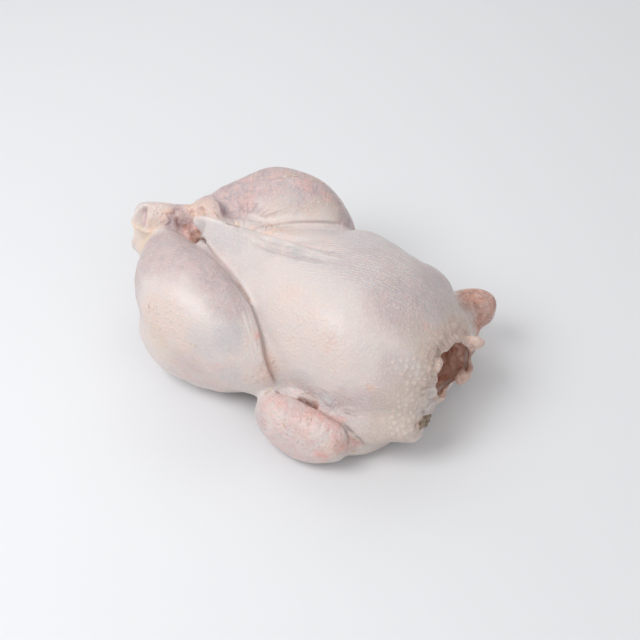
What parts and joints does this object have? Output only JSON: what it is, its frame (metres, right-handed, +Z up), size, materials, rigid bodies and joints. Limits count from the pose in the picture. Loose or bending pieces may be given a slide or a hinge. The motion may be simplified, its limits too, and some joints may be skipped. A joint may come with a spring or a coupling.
{
  "type": "whole raw chicken",
  "caption": "Whole raw plucked chicken lying on its back, legs crossed at the tail, wings folded, neck skin cut open.",
  "frame": {"origin": "centre of the footprint of the bounding box, on the surface the bird lies on", "axes": "+X from the crossed shanks to the neck, +Z up towards the breast, +Y to the far wing"},
  "size_m": [0.2613, 0.1802, 0.1038],
  "materials": {
    "skin": "moist raw skin, satin, pale pink with lilac legs",
    "inner_flesh": "wet raw flesh inside the neck, dark red brown",
    "cartilage": "moist joint cartilage and fat, cream to pale yellow"
  },
  "bodies": {
    "root": {"chicken": "skin"}
  },
  "joints": []
}
